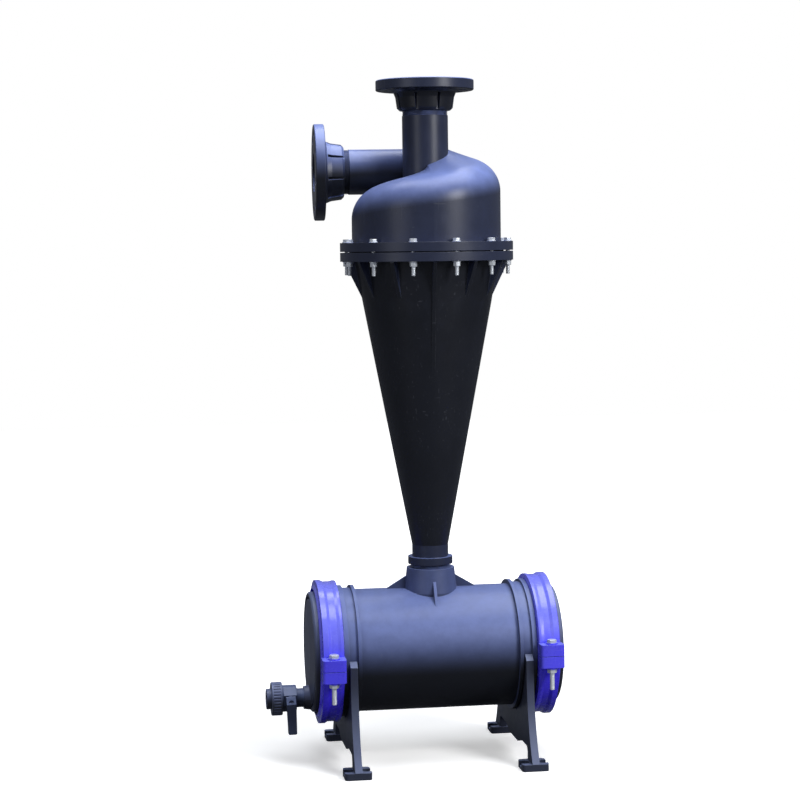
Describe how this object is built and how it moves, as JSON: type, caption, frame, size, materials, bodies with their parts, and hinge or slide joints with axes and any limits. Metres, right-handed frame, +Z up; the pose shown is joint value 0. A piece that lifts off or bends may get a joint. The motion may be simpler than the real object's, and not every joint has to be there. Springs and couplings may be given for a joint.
{
  "type": "hydrocyclone separator",
  "caption": "Upright plastic hydrocyclone with tangential inlet and top outlet flanges, standing on a horizontal sediment tank with clamped end caps and a drain valve.",
  "frame": {"origin": "on the floor under the cyclone's axis, at the middle of the saddles' bolt pattern", "axes": "+Z up along the cyclone, +X along the sediment tank away from its drain valve, -Y the front, where the valve lever is"},
  "size_m": [0.6035, 0.4121, 1.39],
  "materials": {
    "cyclone_cone": "satin",
    "cyclone_head": "satin",
    "vortex_finder": "satin",
    "head_gasket": "matt",
    "outlet_flange": "satin",
    "outlet_seal": "matt",
    "inlet_flange": "satin",
    "inlet_seal": "matt",
    "sediment_tank": "satin",
    "underflow_seal": "matt",
    "left_end_cap": "satin",
    "right_end_cap": "satin",
    "left_cap_seal": "matt",
    "right_cap_seal": "matt",
    "left_clamp_upper": "satin",
    "left_clamp_lower": "satin",
    "right_clamp_upper": "satin",
    "right_clamp_lower": "satin",
    "head_bolts": "bright zinc",
    "head_bolt_washers": "bright zinc",
    "head_nuts": "bright zinc",
    "clamp_bolts": "bright zinc",
    "clamp_nuts": "bright zinc",
    "left_saddle": "satin",
    "right_saddle": "satin",
    "valve_body": "satin",
    "valve_ball": "polished",
    "valve_seats": "matt",
    "seat_carrier": "satin",
    "valve_stem": "satin",
    "valve_lever": "satin",
    "union_nut": "satin",
    "union_tailpiece": "satin",
    "union_seal": "matt"
  },
  "bodies": {
    "separator": {"cyclone_cone": "cyclone_cone", "cyclone_head": "cyclone_head", "vortex_finder": "vortex_finder", "head_gasket": "head_gasket", "outlet_flange": "outlet_flange", "outlet_seal": "outlet_seal", "inlet_flange": "inlet_flange", "inlet_seal": "inlet_seal", "sediment_tank": "sediment_tank", "underflow_seal": "underflow_seal", "left_end_cap": "left_end_cap", "right_end_cap": "right_end_cap", "left_cap_seal": "left_cap_seal", "right_cap_seal": "right_cap_seal", "left_clamp_upper": "left_clamp_upper", "left_clamp_lower": "left_clamp_lower", "right_clamp_upper": "right_clamp_upper", "right_clamp_lower": "right_clamp_lower", "head_bolts": "head_bolts", "head_bolt_washers": "head_bolt_washers", "head_nuts": "head_nuts", "clamp_bolts": "clamp_bolts", "clamp_nuts": "clamp_nuts", "left_saddle": "left_saddle", "right_saddle": "right_saddle", "valve_body": "valve_body", "valve_seats": "valve_seats", "seat_carrier": "seat_carrier", "union_nut": "union_nut", "union_tailpiece": "union_tailpiece", "union_seal": "union_seal"},
    "valve_handle": {"valve_lever": "valve_lever", "valve_stem": "valve_stem", "valve_ball": "valve_ball"}
  },
  "joints": [
    {"name": "drain_valve", "type": "hinge", "parent": "separator", "child": "valve_handle", "pos_m": [-0.2971, 0, 0.129], "axis": [0, 1, 0], "range_deg": [0, 90]}
  ]
}
